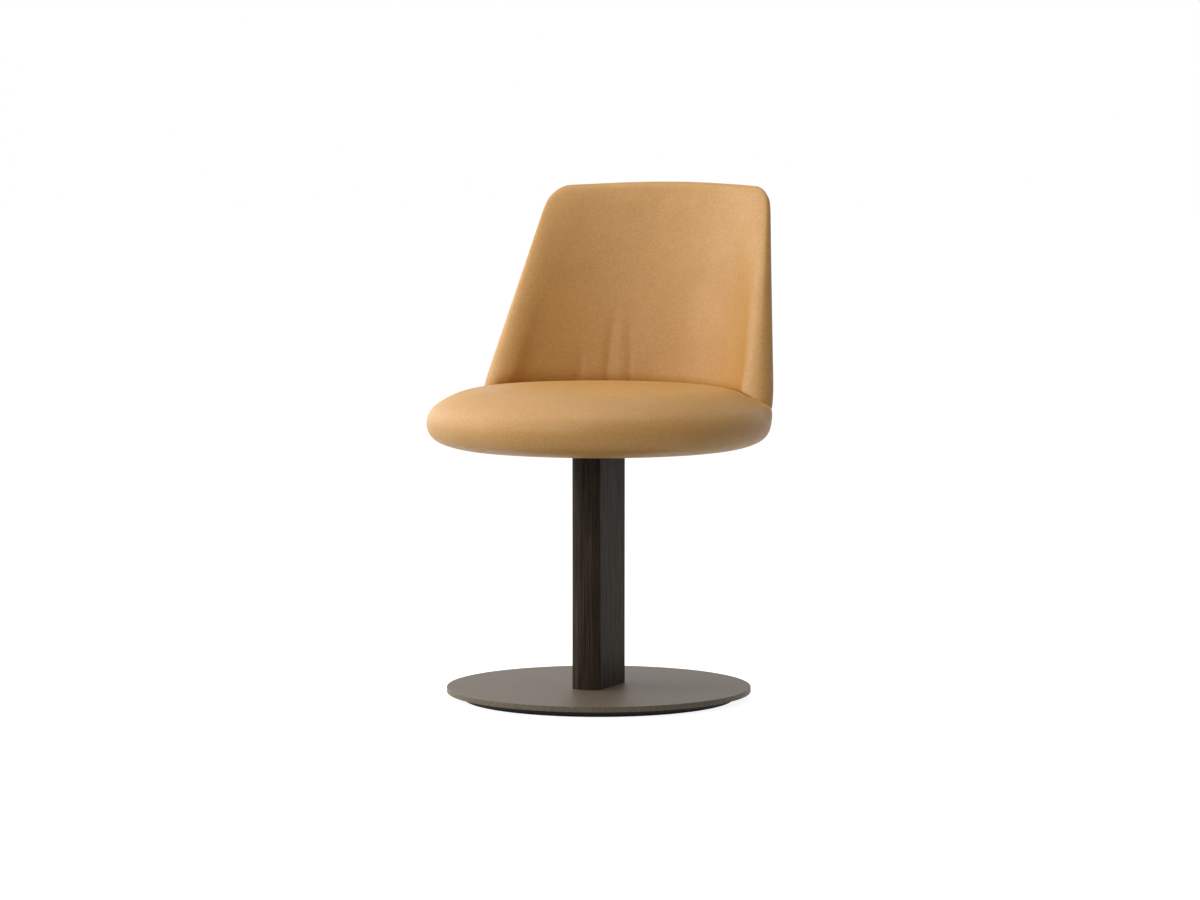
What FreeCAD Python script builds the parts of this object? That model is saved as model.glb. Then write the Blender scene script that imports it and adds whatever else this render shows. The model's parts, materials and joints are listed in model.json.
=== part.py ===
# Swivel chair: a padded round seat with a wrap-round back, on an oblong wooden column and a steel disc base.
# Millimetres. The origin is on the floor under the column's axis, +Z is up and the chair faces -Y.

import FreeCAD
import Part
import math
import os

Vector = FreeCAD.Vector
UP = Vector(0, 0, 1)

# How far a cutting tool runs past what it cuts
BEYOND = 1.0

# Base: felt, ballast disc and top plate, stacked on the floor
FELT_SETBACK = 2.0
FELT_THICKNESS = 3.0
BALLAST_SETBACK = 23.0
BALLAST_THICKNESS = 7.0
PLATE_DIAMETER = 450.0
PLATE_THICKNESS = 8.0
PLATE_EDGE_ROUND = 0.8
BALLAST_SCREW_INSET = 52.0
BALLAST_SCREW_COUNT = 6
BALLAST_SCREW_DIAMETER = 6.0
BALLAST_SCREW_HEAD = 12.0
BALLAST_SCREW_BITE = 5.0

# Wooden column: flat sides, bowed front and rear ends, small corner radii
COLUMN_WIDTH = 45.0
COLUMN_CORNER_LENGTH = 92.0
COLUMN_BOW = 8.5
COLUMN_CORNER_RADIUS = 4.0

# Steel post inside the column, its foot flange and the screws that hold it down
POST_DIAMETER = 34.0
POST_WALL = 3.0
POST_BORE_CLEARANCE = 0.3
FLANGE_SIDE_MARGIN = 5.0
FLANGE_END_MARGIN = 3.5
FLANGE_THICKNESS = 8.0
FLANGE_CORNER_RADIUS = 6.0
POCKET_CLEARANCE = 0.3
FOOT_SCREW_DIAMETER = 8.0
FOOT_SCREW_HEAD = 16.0
FOOT_SCREW_SIDE_INSET = 9.0
FOOT_SCREW_END_INSET = 10.0
SCREW_CLEARANCE = 0.2
COUNTERSINK_CLEARANCE = 0.2

# Swivel: flanged housing in the post, two bushes, spindle and ball thrust bearing
HOUSING_FLANGE_THICKNESS = 5.0
HOUSING_LENGTH = 96.0
HOUSING_FIT = 0.05
HOUSING_WALL = 1.95
SPINDLE_DIAMETER = 20.0
SPINDLE_RUNNING_CLEARANCE = 0.05
BUSH_FIT = 0.02
UPPER_BUSH_LENGTH = 20.0
LOWER_BUSH_LENGTH = 14.0
LOWER_BUSH_FLANGE = 1.6
LOWER_BUSH_FLANGE_DIAMETER = 27.0
SPINDLE_TAIL = 9.0
WASHER_DIAMETER = 27.0
WASHER_THICKNESS = 2.0
CIRCLIP_THICKNESS = 1.4
CIRCLIP_DIAMETER = 25.0
CIRCLIP_GROOVE_DEPTH = 0.9
CIRCLIP_GAP_ANGLE = 40.0
AXIAL_PLAY = 0.2
RACE_DIAMETER = 40.0
RACE_THICKNESS = 2.0
GROOVE_DEPTH = 0.6
BALL_DIAMETER = 5.0
BALL_COUNT = 14
BALL_CIRCLE = 31.0
BALL_CLEARANCE = 0.03
CAGE_THICKNESS = 1.6
CAGE_RIM = 1.4
CAGE_BALL_CLEARANCE = 0.2
LOWER_RACE_BORE = 22.0
UPPER_RACE_BORE_CLEARANCE = 0.1
SHROUD_WALL = 1.5
SHROUD_RACE_CLEARANCE = 0.5
SHROUD_GAP = 0.8
CAP_SCREW_DIAMETER = 4.5
CAP_SCREW_HEAD = 9.0
CAP_SCREW_LENGTH = 32.0
CAP_SCREW_SIDE_INSET = 10.0
CAP_SCREW_END_INSET = 9.0

# Seat mounting plate, its bolts, and the plywood seat board
SPIDER_SIZE = 150.0
SPIDER_THICKNESS = 5.0
SPIDER_CORNER_RADIUS = 22.0
SPIDER_HUB_DIAMETER = 34.0
SPIDER_HUB_HEIGHT = 7.0
SPIDER_WINDOW_LENGTH = 46.0
SPIDER_WINDOW_WIDTH = 14.0
SPIDER_WINDOW_RADIUS = 6.5
SPIDER_WINDOW_OFFSET = 48.0
SEAT_BOLT_SPACING = 112.0
SEAT_BOLT_DIAMETER = 8.0
SEAT_BOLT_HEAD = 14.0
SEAT_BOLT_HEAD_HEIGHT = 4.5
SEAT_BOLT_HEAD_ROUND = 1.2
SEAT_BOLT_SOCKET = 6.0
SEAT_BOLT_SOCKET_DEPTH = 2.6
TEE_NUT_FLANGE = 24.0
TEE_NUT_FLANGE_THICKNESS = 1.5
TEE_NUT_BARREL = 11.0
TEE_NUT_BARREL_LENGTH = 9.0
BOARD_EDGE_INSET = 1.8
BOARD_THICKNESS = 12.0
BOARD_HUB_HOLE = 42.0
BOARD_CLEARANCE = 0.3
DUST_COVER_THICKNESS = 1.2
DUST_COVER_GAP = 0.2
DUST_COVER_EDGE_GAP = 1.0
DUST_COVER_PLATE_GAP = 2.0

# Seat pad: an upholstered disc of tangent arcs, widest at the rim height and crowned on top
SEAT_DIAMETER = 508.0
SEAT_RIM_HEIGHT = 408.0
SEAT_RIM_RADIUS = 32.0
SEAT_RIM_SWEEP = 56.0
SEAT_SHOULDER_RADIUS = 177.0
SEAT_SHOULDER_SWEEP = 24.0
SEAT_UNDER_RADIUS = 29.5
SEAT_UNDER_SWEEP = 66.0
SEAT_BELLY_RADIUS = 110.0
LEATHER_THICKNESS = 1.4
FOAM_GAP = 0.2
LEATHER_TURN_IN = 19.0

# Back: a curved padded shell, sized along the middle of its thickness
# Its foot follows the seat's edge with a little flare; its top edge is narrower and leans out.
BACK_FOOT_RISE = 2.0
BACK_HEIGHT = 333.0
FOOT_THICKNESS = 43.4
FOOT_FLARE = 4.2
FOOT_END_ANGLE = 68.8
TOP_THICKNESS = 18.8
TOP_NARROWING = 47.8
TOP_END_LEAN = 139.2
TOP_MIDDLE_LEAN = 36.0
TOP_CORNER_RADIUS = 20.5
TOP_EDGE_CROWN = 6.8
LOWER_EDGE_RISE = 8.0
BACK_TUCK_RADIUS = 10.0
TUCK_ANGLES = (80, 45, 0)
RIM_ANGLES = (0, 12, 24, 36, 48, 60, 72, 82)
SEAT_JOINT_GAP = 0.3

# Plywood core of the back and the steel brackets that tie it to the seat board
CORE_THICKNESS = 9.0
CORE_MARGIN = 16.0
CORE_DROP = 6.0
CORE_CLEARANCE = 0.15
BRACKET_POSITIONS = (-0.55, 0.0, 0.55)
BRACKET_NAMES = ("back_bracket_left", "back_bracket_middle", "back_bracket_right")
BRACKET_WIDTH = 36.0
BRACKET_THICKNESS = 4.0
BRACKET_FOOT_LENGTH = 100.0
BRACKET_RISE = 78.0
BRACKET_GAP = 0.5
BRACKET_SCREW_DIAMETER = 6.0
BRACKET_SCREW_HEAD = 11.0
BRACKET_SCREW_HEAD_HEIGHT = 2.6
BOARD_SCREW_REACHES = (16.0, 42.0)
BOARD_SCREW_BITE = 9.0
CORE_SCREW_HEIGHTS = (30.0, 60.0)
CORE_SCREW_BITE = 7.0

# Sizes and levels that follow: from the floor up to the flange, and from the seat down to the column
ballast_bottom = FELT_THICKNESS
plate_bottom = ballast_bottom + BALLAST_THICKNESS
plate_top = plate_bottom + PLATE_THICKNESS
flange_top = plate_top + FLANGE_THICKNESS
ballast_diameter = PLATE_DIAMETER - 2 * BALLAST_SETBACK
felt_diameter = ballast_diameter - 2 * FELT_SETBACK
flange_width = COLUMN_WIDTH - 2 * FLANGE_SIDE_MARGIN
flange_length = COLUMN_CORNER_LENGTH - 2 * FLANGE_END_MARGIN
seat_radius = SEAT_DIAMETER / 2
under_sweep = math.radians(SEAT_UNDER_SWEEP)
belly_step = SEAT_BELLY_RADIUS - SEAT_UNDER_RADIUS
belly_start = seat_radius - SEAT_UNDER_RADIUS - belly_step * math.cos(under_sweep)
board_diameter = 2 * (belly_start - BOARD_EDGE_INSET)
underside_opening = board_diameter - 2 * LEATHER_TURN_IN
belly_drop = SEAT_BELLY_RADIUS * (1 - math.sin(under_sweep))
seat_underside = SEAT_RIM_HEIGHT - SEAT_UNDER_RADIUS * math.sin(under_sweep) - belly_drop
board_bottom = seat_underside + LEATHER_THICKNESS + FOAM_GAP
board_top = board_bottom + BOARD_THICKNESS
hub_top = board_bottom + SPIDER_HUB_HEIGHT
spider_bottom = board_bottom - SPIDER_THICKNESS
upper_race_bottom = spider_bottom - RACE_THICKNESS
ball_radius = BALL_DIAMETER / 2
ball_height = upper_race_bottom + GROOVE_DEPTH - BALL_CLEARANCE - ball_radius
lower_race_top = ball_height - ball_radius - BALL_CLEARANCE + GROOVE_DEPTH
column_top = lower_race_top - RACE_THICKNESS
housing_seat = column_top - HOUSING_FLANGE_THICKNESS
housing_bottom = column_top - HOUSING_LENGTH
housing_bore_radius = POST_DIAMETER / 2 - POST_WALL - HOUSING_FIT - HOUSING_WALL
lower_bush_bottom = housing_bottom - LOWER_BUSH_FLANGE
washer_top = lower_bush_bottom - AXIAL_PLAY
washer_bottom = washer_top - WASHER_THICKNESS
circlip_bottom = washer_bottom - CIRCLIP_THICKNESS
spindle_bottom = housing_bottom - SPINDLE_TAIL
foot_height = SEAT_RIM_HEIGHT + BACK_FOOT_RISE
top_height = foot_height + BACK_HEIGHT
lower_edge = SEAT_RIM_HEIGHT + LOWER_EDGE_RISE
core_bottom = SEAT_RIM_HEIGHT - CORE_DROP
foot_middle_reach = seat_radius - FOOT_THICKNESS / 2
foot_end_distance = foot_middle_reach + FOOT_FLARE
foot_half_width = foot_end_distance * math.sin(math.radians(FOOT_END_ANGLE))
foot_end_reach = foot_end_distance * math.cos(math.radians(FOOT_END_ANGLE))
top_half_width = foot_half_width - TOP_NARROWING
top_end_reach = foot_end_reach + TOP_END_LEAN
top_middle_reach = foot_middle_reach + TOP_MIDDLE_LEAN


# Small solids that the pieces are built from

def cylinder(diameter, bottom, top, x=0.0, y=0.0):
    """An upright cylinder between two heights."""
    return Part.makeCylinder(diameter / 2, top - bottom, Vector(x, y, bottom), UP)


def ring(outer, inner, bottom, top):
    """An upright tube between two heights."""
    return cylinder(outer, bottom, top).cut(cylinder(inner, bottom - BEYOND, top + BEYOND))


def rounded_block(width, length, radius, bottom, top):
    """An upright block with rounded upright edges, centred on the axis."""
    block = Part.makeBox(width, length, top - bottom, Vector(-width / 2, -length / 2, bottom))
    return block.makeFillet(radius, upright_edges(block))


def upright_edges(solid):
    """The straight edges of a solid that run along Z."""
    return [e for e in solid.Edges if abs(e.tangentAt(e.FirstParameter).z) > 0.999 and len(e.Vertexes) == 2]


def countersunk_screw(diameter, head, bottom, top, x, y, direction=1):
    """A countersunk screw whose head's face is at bottom, or at top where direction is -1."""
    drop = (head - diameter) / 2
    shank = cylinder(diameter, bottom, top, x, y)
    if direction > 0:
        cone = Part.makeCone(head / 2, diameter / 2, drop, Vector(x, y, bottom), UP)
    else:
        cone = Part.makeCone(diameter / 2, head / 2, drop, Vector(x, y, top - drop), UP)
    return shank.fuse(cone)


def grid(spacing_x, spacing_y):
    """The four corners of a rectangle centred on the axis."""
    return [(sx * spacing_x / 2, sy * spacing_y / 2) for sx in (-1, 1) for sy in (-1, 1)]


def circle_of(count, diameter):
    """Evenly spaced places on a circle round the axis."""
    turn = 2 * math.pi / count
    return [(diameter / 2 * math.cos(i * turn), diameter / 2 * math.sin(i * turn)) for i in range(count)]


def joined(solids):
    """Several solids in one node."""
    return Part.makeCompound(solids)


def cut_all(solid, tools):
    """A solid less each of the tools."""
    for tool in tools:
        solid = solid.cut(tool)
    return solid


# Base

def floor_felt():
    """The felt disc that the chair stands on."""
    return cylinder(felt_diameter, 0.0, FELT_THICKNESS)


def foot_screw_set(grown=0.0):
    """The four screws that hold the post's flange down, or their holes where grown."""
    return [
        countersunk_screw(
            FOOT_SCREW_DIAMETER + 2 * grown, FOOT_SCREW_HEAD + 2 * grown, ballast_bottom, flange_top, x, y
        )
        for x, y in grid(flange_width - 2 * FOOT_SCREW_SIDE_INSET, flange_length - 2 * FOOT_SCREW_END_INSET)
    ]


def ballast_screw_set(grown=0.0):
    """The screws that hold the ballast under the plate, or their holes where grown."""
    tip = plate_bottom + BALLAST_SCREW_BITE
    return [
        countersunk_screw(
            BALLAST_SCREW_DIAMETER + 2 * grown, BALLAST_SCREW_HEAD + 2 * grown,
            ballast_bottom, tip + grown, x, y
        )
        for x, y in circle_of(BALLAST_SCREW_COUNT, ballast_diameter - 2 * BALLAST_SCREW_INSET)
    ]


def ballast_disc():
    """The black steel disc under the plate."""
    disc = cylinder(ballast_diameter, ballast_bottom, plate_bottom)
    return cut_all(disc, foot_screw_set(SCREW_CLEARANCE) + ballast_screw_set(SCREW_CLEARANCE))


def base_plate():
    """The coated steel disc, with its edges just eased."""
    disc = cylinder(PLATE_DIAMETER, plate_bottom, plate_top)
    disc = disc.makeFillet(PLATE_EDGE_ROUND, [e for e in disc.Edges if len(e.Vertexes) == 1])
    return cut_all(disc, foot_screw_set(SCREW_CLEARANCE) + ballast_screw_set(SCREW_CLEARANCE))


# Column and post

def column_outline():
    """The column's section at height zero: two straight sides and two bowed ends."""
    x = COLUMN_WIDTH / 2
    y = COLUMN_CORNER_LENGTH / 2
    tip = y + COLUMN_BOW
    right_front, right_rear = Vector(x, -y, 0), Vector(x, y, 0)
    left_front, left_rear = Vector(-x, -y, 0), Vector(-x, y, 0)
    edges = [
        Part.LineSegment(right_front, right_rear).toShape(),
        Part.Arc(right_rear, Vector(0, tip, 0), left_rear).toShape(),
        Part.LineSegment(left_rear, left_front).toShape(),
        Part.Arc(left_front, Vector(0, -tip, 0), right_front).toShape(),
    ]
    return Part.Wire(edges)


def cap_screw_set(grown=0.0):
    """The wood screws through the housing's flange, or their holes where grown."""
    return [
        countersunk_screw(
            CAP_SCREW_DIAMETER + 2 * grown, CAP_SCREW_HEAD + 2 * grown,
            column_top - CAP_SCREW_LENGTH - grown, column_top, x, y, -1
        )
        for x, y in grid(flange_width - 2 * CAP_SCREW_SIDE_INSET, flange_length - 2 * CAP_SCREW_END_INSET)
    ]


def wood_column():
    """The oak column, bored for the post, with a pocket at each end for the flanges."""
    body = Part.Face(column_outline()).extrude(Vector(0, 0, column_top - plate_top))
    body = body.makeFillet(COLUMN_CORNER_RADIUS, upright_edges(body))
    body.translate(Vector(0, 0, plate_top))
    pocket = 2 * POCKET_CLEARANCE
    foot_pocket = rounded_block(
        flange_width + pocket, flange_length + pocket, FLANGE_CORNER_RADIUS, plate_top - BEYOND, flange_top
    )
    cap_pocket = rounded_block(
        flange_width + pocket, flange_length + pocket, FLANGE_CORNER_RADIUS, housing_seat, column_top + BEYOND
    )
    bore = cylinder(POST_DIAMETER + 2 * POST_BORE_CLEARANCE, plate_top, column_top)
    return cut_all(body, [foot_pocket, cap_pocket, bore] + cap_screw_set(SCREW_CLEARANCE))


def foot_flange():
    """The steel plate at the foot of the post."""
    plate = rounded_block(flange_width, flange_length, FLANGE_CORNER_RADIUS, plate_top, flange_top)
    return cut_all(plate, foot_screw_set(SCREW_CLEARANCE))


def core_post():
    """The steel tube inside the column, which stands on its flange and carries the housing."""
    return ring(POST_DIAMETER, POST_DIAMETER - 2 * POST_WALL, flange_top, housing_seat)


# Swivel

def swivel_housing():
    """The flanged sleeve that sits in the top of the post and holds the bushes."""
    flange = rounded_block(flange_width, flange_length, FLANGE_CORNER_RADIUS, housing_seat, column_top)
    sleeve_diameter = POST_DIAMETER - 2 * POST_WALL - 2 * HOUSING_FIT
    body = flange.fuse(cylinder(sleeve_diameter, housing_bottom, housing_seat + BEYOND)).removeSplitter()
    bore = cylinder(2 * housing_bore_radius, housing_bottom - BEYOND, column_top + BEYOND)
    return cut_all(body, [bore] + cap_screw_set(SCREW_CLEARANCE))


def bush(bottom, top):
    """A plain plastic bush round the spindle."""
    outer = 2 * (housing_bore_radius - BUSH_FIT)
    return ring(outer, SPINDLE_DIAMETER + 2 * SPINDLE_RUNNING_CLEARANCE, bottom, top)


def upper_bush():
    """The bush at the mouth of the housing."""
    return bush(column_top - UPPER_BUSH_LENGTH, column_top)


def lower_bush():
    """The bush at the bottom of the housing, with a flange against its end."""
    barrel = bush(housing_bottom, housing_bottom + LOWER_BUSH_LENGTH)
    inner = SPINDLE_DIAMETER + 2 * SPINDLE_RUNNING_CLEARANCE
    return barrel.fuse(ring(LOWER_BUSH_FLANGE_DIAMETER, inner, lower_bush_bottom, housing_bottom))


def ball_groove():
    """The ring-shaped track that the balls run in."""
    return Part.makeTorus(BALL_CIRCLE / 2, ball_radius + BALL_CLEARANCE, Vector(0, 0, ball_height), UP)


def lower_race():
    """The fixed washer of the thrust bearing."""
    return ring(RACE_DIAMETER, LOWER_RACE_BORE, column_top, lower_race_top).cut(ball_groove())


def upper_race():
    """The washer of the thrust bearing that turns with the seat."""
    bore = SPINDLE_DIAMETER + 2 * UPPER_RACE_BORE_CLEARANCE
    return ring(RACE_DIAMETER, bore, upper_race_bottom, spider_bottom).cut(ball_groove())


def bearing_balls():
    """The steel balls."""
    return joined([
        Part.makeSphere(ball_radius, Vector(x, y, ball_height)) for x, y in circle_of(BALL_COUNT, BALL_CIRCLE)
    ])


def ball_cage():
    """The plastic cage that spaces the balls."""
    reach = BALL_DIAMETER + 2 * CAGE_BALL_CLEARANCE + 2 * CAGE_RIM
    bottom = ball_height - CAGE_THICKNESS / 2
    cage = ring(BALL_CIRCLE + reach, BALL_CIRCLE - reach, bottom, bottom + CAGE_THICKNESS)
    hole = BALL_DIAMETER + 2 * CAGE_BALL_CLEARANCE
    return cut_all(cage, [
        cylinder(hole, bottom - BEYOND, bottom + CAGE_THICKNESS + BEYOND, x, y)
        for x, y in circle_of(BALL_COUNT, BALL_CIRCLE)
    ])


def spindle():
    """The steel spindle, grooved near its lower end for the circlip."""
    shaft = cylinder(SPINDLE_DIAMETER, spindle_bottom, hub_top)
    groove_floor = SPINDLE_DIAMETER - 2 * CIRCLIP_GROOVE_DEPTH
    groove = ring(SPINDLE_DIAMETER + 2 * BEYOND, groove_floor, circlip_bottom, washer_bottom)
    return shaft.cut(groove)


def spindle_washer():
    """The washer between the lower bush and the circlip."""
    return ring(WASHER_DIAMETER, SPINDLE_DIAMETER + 2 * UPPER_RACE_BORE_CLEARANCE, washer_bottom, washer_top)


def spindle_circlip():
    """The open spring ring that keeps the spindle in."""
    clip = ring(CIRCLIP_DIAMETER, SPINDLE_DIAMETER - 2 * CIRCLIP_GROOVE_DEPTH, circlip_bottom, washer_bottom)
    half = math.radians(CIRCLIP_GAP_ANGLE / 2)
    reach = CIRCLIP_DIAMETER
    corners = [
        Vector(0, 0, circlip_bottom),
        Vector(reach * math.sin(-half), -reach * math.cos(half), circlip_bottom),
        Vector(reach * math.sin(half), -reach * math.cos(half), circlip_bottom),
    ]
    gap = Part.Face(Part.makePolygon(corners + corners[:1])).extrude(Vector(0, 0, CIRCLIP_THICKNESS))
    return clip.cut(gap)


def swivel_shroud():
    """The plastic collar under the seat that hides the bearing."""
    inner = RACE_DIAMETER + 2 * SHROUD_RACE_CLEARANCE
    return ring(inner + 2 * SHROUD_WALL, inner, column_top + SHROUD_GAP, spider_bottom)


# Seat plate, board and fasteners

def seat_spider():
    """The steel plate on the spindle, with a hub above and four pressed windows."""
    plate = rounded_block(SPIDER_SIZE, SPIDER_SIZE, SPIDER_CORNER_RADIUS, spider_bottom, board_bottom)
    hub = cylinder(SPIDER_HUB_DIAMETER, board_bottom, hub_top)
    body = plate.fuse(hub)
    window = rounded_block(
        SPIDER_WINDOW_LENGTH, SPIDER_WINDOW_WIDTH, SPIDER_WINDOW_RADIUS,
        spider_bottom - BEYOND, board_bottom + BEYOND
    )
    window.translate(Vector(0, SPIDER_WINDOW_OFFSET, 0))
    windows = []
    for quarter in range(4):
        turned = window.copy()
        turned.rotate(Vector(0, 0, 0), UP, 90 * quarter)
        windows.append(turned)
    bore = cylinder(SPINDLE_DIAMETER + 2 * HOUSING_FIT, spider_bottom - BEYOND, hub_top + BEYOND)
    bolt_hole = SEAT_BOLT_DIAMETER + 2 * SCREW_CLEARANCE
    holes = [
        cylinder(bolt_hole, spider_bottom - BEYOND, board_bottom + BEYOND, x, y)
        for x, y in grid(SEAT_BOLT_SPACING, SEAT_BOLT_SPACING)
    ]
    return cut_all(body, [bore] + windows + holes)


def seat_bolts():
    """The four bolts up through the plate into the tee nuts."""
    bolts = []
    for x, y in grid(SEAT_BOLT_SPACING, SEAT_BOLT_SPACING):
        head = cylinder(SEAT_BOLT_HEAD, spider_bottom - SEAT_BOLT_HEAD_HEIGHT, spider_bottom, x, y)
        rim = [e for e in head.Edges if len(e.Vertexes) == 1 and e.CenterOfMass.z < spider_bottom - BEYOND]
        head = head.makeFillet(SEAT_BOLT_HEAD_ROUND, rim)
        head_bottom = spider_bottom - SEAT_BOLT_HEAD_HEIGHT
        socket = cylinder(SEAT_BOLT_SOCKET, head_bottom, head_bottom + SEAT_BOLT_SOCKET_DEPTH, x, y)
        shank = cylinder(SEAT_BOLT_DIAMETER, spider_bottom, board_top, x, y)
        bolts.append(head.cut(socket).fuse(shank))
    return joined(bolts)


def tee_nuts():
    """The four flanged nuts let into the top of the board."""
    nuts = []
    for x, y in grid(SEAT_BOLT_SPACING, SEAT_BOLT_SPACING):
        flange = cylinder(TEE_NUT_FLANGE, board_top, board_top + TEE_NUT_FLANGE_THICKNESS, x, y)
        barrel = cylinder(TEE_NUT_BARREL, board_top - TEE_NUT_BARREL_LENGTH, board_top, x, y)
        thread = cylinder(
            SEAT_BOLT_DIAMETER + 2 * SCREW_CLEARANCE,
            board_top - TEE_NUT_BARREL_LENGTH - BEYOND, board_top + TEE_NUT_FLANGE_THICKNESS + BEYOND, x, y
        )
        nuts.append(flange.fuse(barrel).cut(thread))
    return joined(nuts)


def seat_board():
    """The plywood disc that carries the padding."""
    board = cylinder(board_diameter, board_bottom, board_top)
    hub_hole = cylinder(BOARD_HUB_HOLE, board_bottom - BEYOND, board_top + BEYOND)
    bolt_hole = SEAT_BOLT_DIAMETER + 2 * SCREW_CLEARANCE
    barrel_hole = TEE_NUT_BARREL + 2 * SCREW_CLEARANCE
    barrel_floor = board_top - TEE_NUT_BARREL_LENGTH - SCREW_CLEARANCE
    bolt_holes = []
    for x, y in grid(SEAT_BOLT_SPACING, SEAT_BOLT_SPACING):
        bolt_holes.append(cylinder(bolt_hole, board_bottom - BEYOND, board_top + BEYOND, x, y))
        bolt_holes.append(cylinder(barrel_hole, barrel_floor, board_top + BEYOND, x, y))
    return cut_all(board, [hub_hole] + bolt_holes + board_screw_set(SCREW_CLEARANCE))


def dust_cover():
    """The black cloth disc that closes the underside round the mounting plate."""
    top = board_bottom - DUST_COVER_GAP
    disc = cylinder(underside_opening - 2 * DUST_COVER_EDGE_GAP, top - DUST_COVER_THICKNESS, top)
    opening_size = SPIDER_SIZE + 2 * DUST_COVER_PLATE_GAP
    opening = rounded_block(
        opening_size, opening_size, SPIDER_CORNER_RADIUS + DUST_COVER_PLATE_GAP,
        top - DUST_COVER_THICKNESS - BEYOND, top + BEYOND
    )
    return disc.cut(opening)


# Seat pad

def arc_about(centre, radius, first, last):
    """An arc in the XZ plane between two angles in degrees, the X axis being zero and up being positive."""
    def at(angle):
        turn = math.radians(angle)
        return Vector(centre.x + radius * math.cos(turn), 0, centre.z + radius * math.sin(turn))
    return Part.Arc(at(first), at((first + last) / 2), at(last)).toShape(), at(last)


def seat_body(inset=0.0):
    """The pad's round form, smaller all over by the inset, as a turned profile of tangent arcs."""
    def next_centre(centre, radius, next_radius, angle):
        turn = math.radians(angle)
        step = radius - next_radius
        return Vector(centre.x + step * math.cos(turn), 0, centre.z + step * math.sin(turn))

    shoulder_end = SEAT_RIM_SWEEP + SEAT_SHOULDER_SWEEP
    rim = Vector(seat_radius - SEAT_RIM_RADIUS, 0, SEAT_RIM_HEIGHT)
    shoulder = next_centre(rim, SEAT_RIM_RADIUS, SEAT_SHOULDER_RADIUS, SEAT_RIM_SWEEP)
    crown_radius = SEAT_SHOULDER_RADIUS + shoulder.x / math.cos(math.radians(shoulder_end))
    crown = next_centre(shoulder, SEAT_SHOULDER_RADIUS, crown_radius, shoulder_end)
    under = Vector(seat_radius - SEAT_UNDER_RADIUS, 0, SEAT_RIM_HEIGHT)
    belly = next_centre(under, SEAT_UNDER_RADIUS, SEAT_BELLY_RADIUS, -SEAT_UNDER_SWEEP)
    rim_arc, _ = arc_about(rim, SEAT_RIM_RADIUS - inset, 0, SEAT_RIM_SWEEP)
    shoulder_arc, _ = arc_about(shoulder, SEAT_SHOULDER_RADIUS - inset, SEAT_RIM_SWEEP, shoulder_end)
    crown_arc, apex = arc_about(crown, crown_radius - inset, shoulder_end, 90)
    under_arc, _ = arc_about(under, SEAT_UNDER_RADIUS - inset, 0, -SEAT_UNDER_SWEEP)
    belly_arc, belly_end = arc_about(belly, SEAT_BELLY_RADIUS - inset, -SEAT_UNDER_SWEEP, -90)
    middle = Vector(0, 0, belly_end.z)
    edges = [rim_arc, shoulder_arc, crown_arc, under_arc, belly_arc]
    edges.append(Part.LineSegment(belly_end, middle).toShape())
    edges.append(Part.LineSegment(middle, Vector(0, 0, apex.z)).toShape())
    profile = Part.Wire(Part.__sortEdges__(edges))
    return Part.Face(profile).revolve(Vector(0, 0, 0), UP, 360)


def seat_cover(through):
    """The leather over the seat, open underneath and slit where the back passes through."""
    shell = seat_body().cut(seat_body(LEATHER_THICKNESS))
    opening = cylinder(underside_opening, seat_underside - BEYOND, board_bottom)
    return cut_all(shell, [opening] + through)


def seat_foam(through):
    """The moulded foam on and round the seat board."""
    foam = seat_body(LEATHER_THICKNESS + FOAM_GAP)
    board_space = cylinder(board_diameter + 2 * BOARD_CLEARANCE, seat_underside, board_top)
    nut_top = board_top + TEE_NUT_FLANGE_THICKNESS + BOARD_CLEARANCE
    nut_spaces = [
        cylinder(TEE_NUT_FLANGE + 2 * BOARD_CLEARANCE, board_top - BEYOND, nut_top, x, y)
        for x, y in grid(SEAT_BOLT_SPACING, SEAT_BOLT_SPACING)
    ]
    return cut_all(foam, [board_space] + nut_spaces + through)


# Back

def share_at(height):
    """How far up the back a height at its ends lies, from 0 at its foot to 1 at its top edge."""
    return (height - foot_height) / (top_height - foot_height)


def between(foot, top, share):
    """A size at a share of the back's height, on a straight line from its foot to its top."""
    return foot + (top - foot) * share


def back_arc(height):
    """The back's middle arc at a height: its centre's Y, its radius and half its angle."""
    share = share_at(height)
    half_width = between(foot_half_width, top_half_width, share)
    end_reach = between(foot_end_reach, top_end_reach, share)
    rise = between(foot_middle_reach, top_middle_reach, share) - end_reach
    radius = (half_width ** 2 + rise ** 2) / (2 * rise)
    centre = end_reach + rise - radius
    return centre, radius, math.atan2(half_width, end_reach - centre)


def quarter_round(start, corner, end):
    """A quarter of an ellipse from start to end, inside the corner where its end tangents meet."""
    curve = Part.BezierCurve()
    curve.setPoles([start, corner, end])
    curve.setWeight(2, math.sqrt(0.5))
    return curve.toShape()


def back_section(height, half_thickness, margin, nose):
    """A section of the back: a curved band that stops a margin short of its ends, plus a round nose on each.

    The height is that of the ends. The section tilts up towards its middle, which crowns the top edge.
    """
    centre, radius, half_angle = back_arc(height)
    end_reach = centre + radius * math.cos(half_angle)
    tilt = TOP_EDGE_CROWN * share_at(height) / (centre + radius - end_reach)
    last_angle = half_angle - margin / radius

    def at(angle, reach, along=0.0):
        x = reach * math.sin(angle) + along * math.cos(angle)
        y = centre + reach * math.cos(angle) - along * math.sin(angle)
        return Vector(x, y, height + tilt * (y - end_reach))

    outer = radius + half_thickness
    inner = radius - half_thickness
    edges = []
    for side, first, last in ((1, outer, inner), (-1, inner, outer)):
        angle = side * last_angle
        along = side * nose
        edges.append(Part.Arc(at(-angle, first), at(0, first), at(angle, first)).toShape())
        edges.append(quarter_round(at(angle, first), at(angle, first, along), at(angle, radius, along)))
        edges.append(quarter_round(at(angle, radius, along), at(angle, last, along), at(angle, last)))
    return Part.Wire(edges)


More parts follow.
